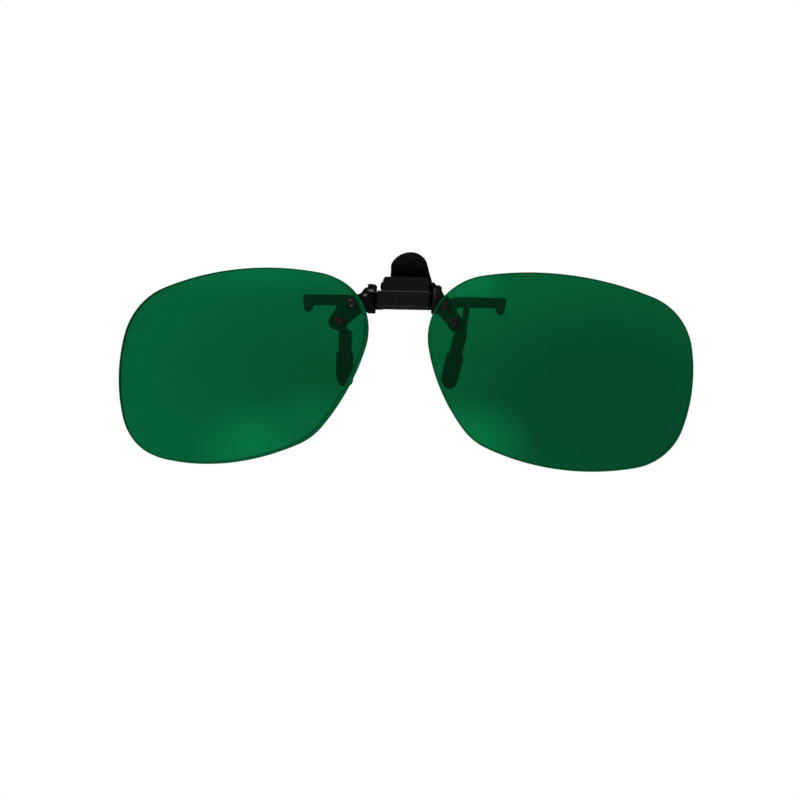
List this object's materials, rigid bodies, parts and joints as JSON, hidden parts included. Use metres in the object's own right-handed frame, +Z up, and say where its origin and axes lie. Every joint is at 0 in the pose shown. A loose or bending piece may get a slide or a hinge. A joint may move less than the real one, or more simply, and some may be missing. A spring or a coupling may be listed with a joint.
{
  "type": "clip-on laser safety lenses",
  "caption": "Pair of green spherical laser safety lenses on a flip-up hinge with a sprung two-jaw clip that grips the wearer's spectacles.",
  "frame": {"origin": "middle plane, in the plane of the front jaw's soft pads, 0.2 mm above the flip axis", "axes": "+X to the right of a viewer who faces the wearer, +Y towards the wearer, +Z up"},
  "size_m": [0.1366, 0.0134, 0.0509],
  "materials": {
    "black_enamel": "gloss black stoving enamel on steel sheet",
    "black_rubber": "matt",
    "blackened_steel": "oil-blackened",
    "screw_steel": "turned and blackened",
    "nylon": "moulded, a little see-through",
    "green_lens": "polished dyed polycarbonate"
  },
  "bodies": {
    "clip_body": {"housing": "black_enamel", "front_jaw": "black_enamel", "hook_pad_left": "black_rubber", "hook_pad_right": "black_rubber", "front_rivet_left": "blackened_steel", "front_rivet_right": "blackened_steel", "lever_pin": "blackened_steel", "friction_washer_left": "blackened_steel", "friction_washer_right": "blackened_steel", "torsion_spring": "blackened_steel"},
    "lens_flip": {"flip_pin": "blackened_steel", "lens_bracket_left": "black_enamel", "lens_bracket_right": "black_enamel", "lens_left": "green_lens", "lens_right": "green_lens", "lens_screw_left_upper": "screw_steel", "lens_screw_left_lower": "screw_steel", "lens_screw_right_upper": "screw_steel", "lens_screw_right_lower": "screw_steel", "lens_washer_left_upper": "nylon", "lens_washer_left_lower": "nylon", "lens_washer_right_upper": "nylon", "lens_washer_right_lower": "nylon", "lens_nut_left_upper": "screw_steel", "lens_nut_left_lower": "screw_steel", "lens_nut_right_upper": "screw_steel", "lens_nut_right_lower": "screw_steel"},
    "lever": {"thumb_lever": "black_enamel", "rear_jaw": "black_enamel", "rear_rivet_left": "blackened_steel", "rear_rivet_right": "blackened_steel", "leg_sleeve_left": "black_rubber", "leg_sleeve_right": "black_rubber"}
  },
  "joints": [
    {"name": "lens_flip", "type": "hinge", "parent": "clip_body", "child": "lens_flip", "pos_m": [0, -0.0024, -0.0002], "axis": [-1, 0, 0], "range_deg": [0, 100]},
    {"name": "lever", "type": "hinge", "parent": "clip_body", "child": "lever", "pos_m": [0, 0.0006, 0.0033], "axis": [1, 0, 0], "range_deg": [0, 35], "stiffness_Nm_per_rad": 0.014, "springref_deg": -85.94, "deforming": ["torsion_spring"]}
  ]
}
